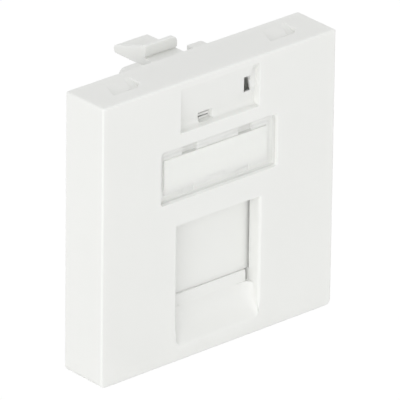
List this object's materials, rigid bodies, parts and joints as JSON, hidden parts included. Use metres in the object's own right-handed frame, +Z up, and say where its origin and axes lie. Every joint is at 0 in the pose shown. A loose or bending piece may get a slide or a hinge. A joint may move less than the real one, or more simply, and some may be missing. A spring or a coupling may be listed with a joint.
{
  "type": "keystone module",
  "caption": "Square wall-outlet module holding a keystone jack behind a sliding shutter, with a clear label cover, a recessed icon field, a finger scoop and snap clips behind.",
  "frame": {"origin": "Centre of the bounding box in X and Y, at the module's lower edge in Z.", "axes": "+Z is up, toward the upper edge with the recess. -Y is the way the front face looks, +Y points to the clips at the rear, and +X is to the right when the front is seen."},
  "size_m": [0.045, 0.0206, 0.045],
  "materials": {
    "white_plastic": "satin white, moulded",
    "clear_plastic": "clear, polished",
    "white_card": "matte white card",
    "spring_steel": "bright wire"
  },
  "bodies": {
    "module": {"front_housing": "white_plastic", "rear_carrier": "white_plastic", "label_card": "white_card", "shutter_spring_left": "spring_steel", "shutter_spring_right": "spring_steel"},
    "shutter": {"shutter": "white_plastic"},
    "label_cover": {"label_window": "clear_plastic"}
  },
  "joints": [
    {"name": "shutter_slide", "type": "slide", "parent": "module", "child": "shutter", "axis": [0, 0, 1], "range_m": [0, 0.012], "stiffness_N_per_m": 20, "springref_m": -0.01, "deforming": ["shutter_spring_left", "shutter_spring_right"]},
    {"name": "label_cover_pull", "type": "slide", "parent": "module", "child": "label_cover", "axis": [0, -1, 0], "range_m": [0, 0.004]}
  ]
}
